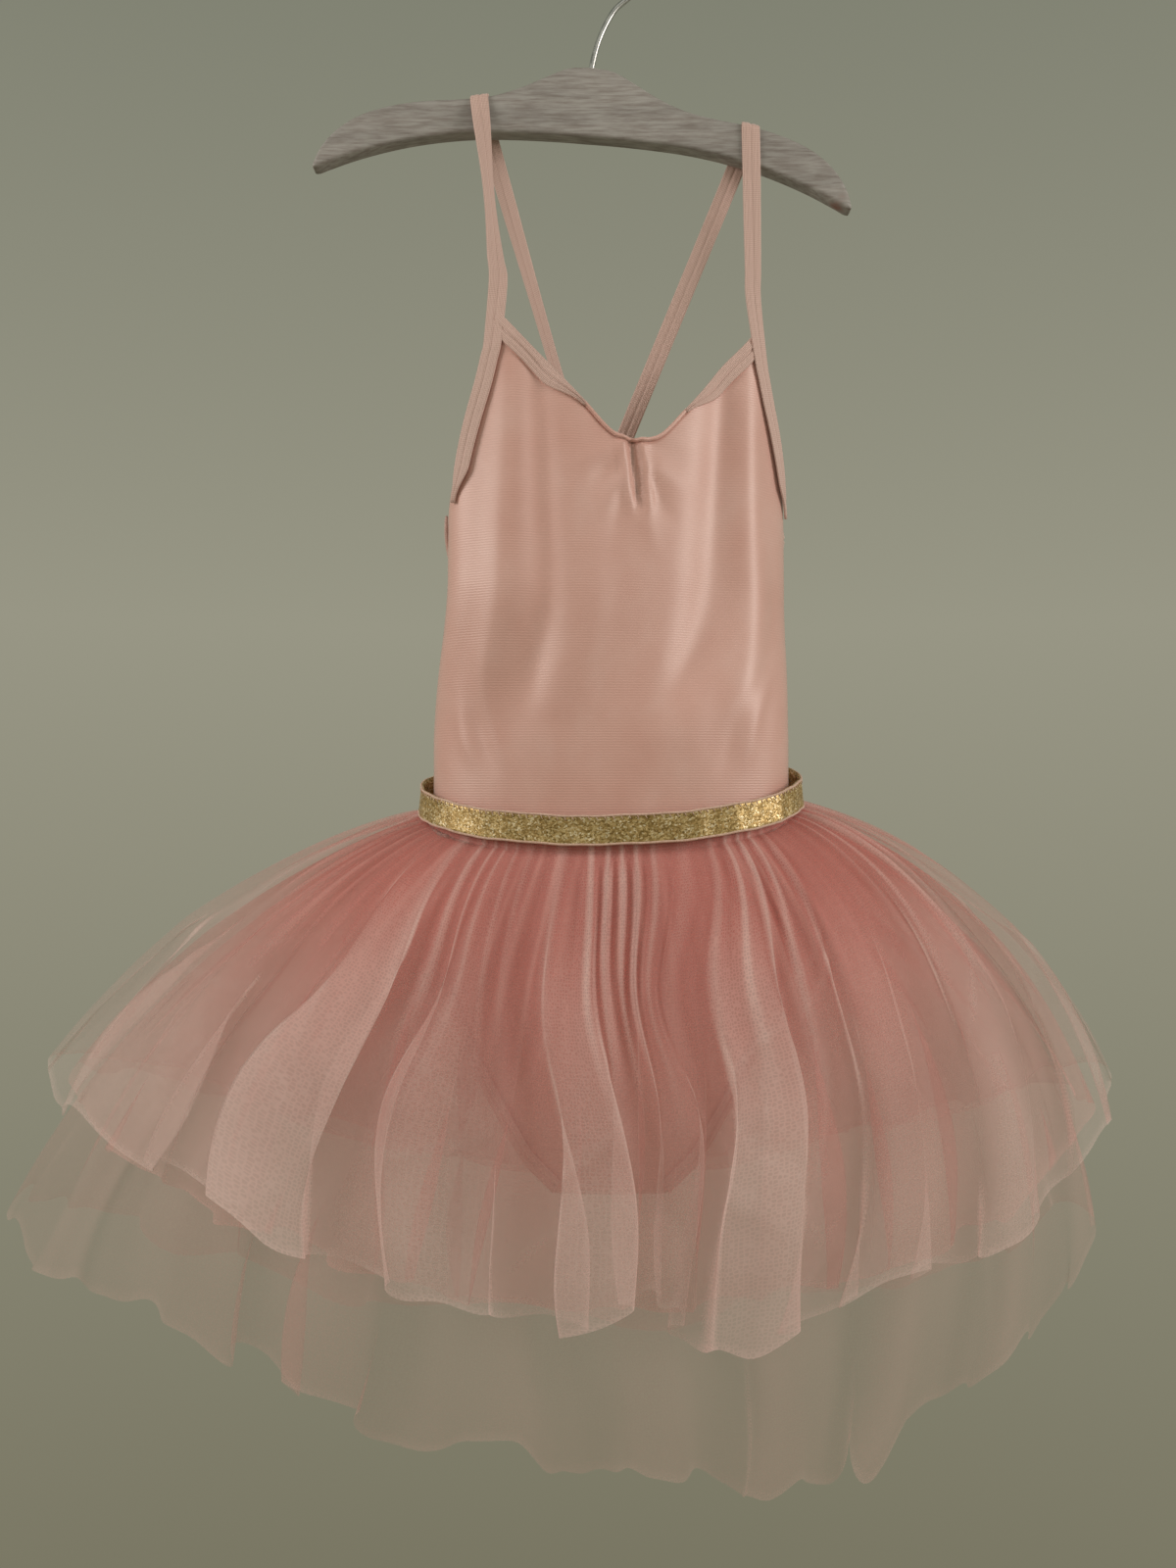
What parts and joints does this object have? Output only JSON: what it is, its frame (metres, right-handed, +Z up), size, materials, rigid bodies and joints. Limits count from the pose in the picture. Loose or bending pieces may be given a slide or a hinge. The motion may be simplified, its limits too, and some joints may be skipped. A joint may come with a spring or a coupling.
{
  "type": "children's tutu dress on a wooden clothes hanger",
  "caption": "Child's ballet tutu dress: stretch leotard with crossed back straps, glitter waistband and layered gathered tulle skirt, hung on a small wooden hanger.",
  "frame": {"origin": "inside top of the hanger hook's bend, where a rail or peg would carry it", "axes": "+Z up, +X to the right as seen from the front, the front of the dress faces -Y"},
  "size_m": [0.6105, 0.2226, 0.8238],
  "materials": {
    "jersey": "soft-sheen pale pink nylon and elastane jersey",
    "elastic": "ribbed pink fold-over elastic",
    "glitter_elastic": "woven gold lurex glitter elastic with pale edges",
    "tulle": "soft see-through pink nylon tulle",
    "limed_wood": "limed, whitewashed wood with streaky grain",
    "plated_wire": "zinc plated wire"
  },
  "bodies": {
    "root": {"hanger_body": "limed_wood", "hanger_hook": "plated_wire", "leotard_front": "jersey", "leotard_back": "jersey", "binding_neck_left": "elastic", "binding_neck_right": "elastic", "binding_armhole_left": "elastic", "binding_armhole_right": "elastic", "binding_back": "elastic", "binding_leg_left": "elastic", "binding_leg_right": "elastic", "strap_left": "elastic", "strap_right": "elastic", "waistband": "glitter_elastic", "tulle_under": "tulle", "tulle_middle": "tulle", "tulle_top": "tulle"}
  },
  "joints": []
}
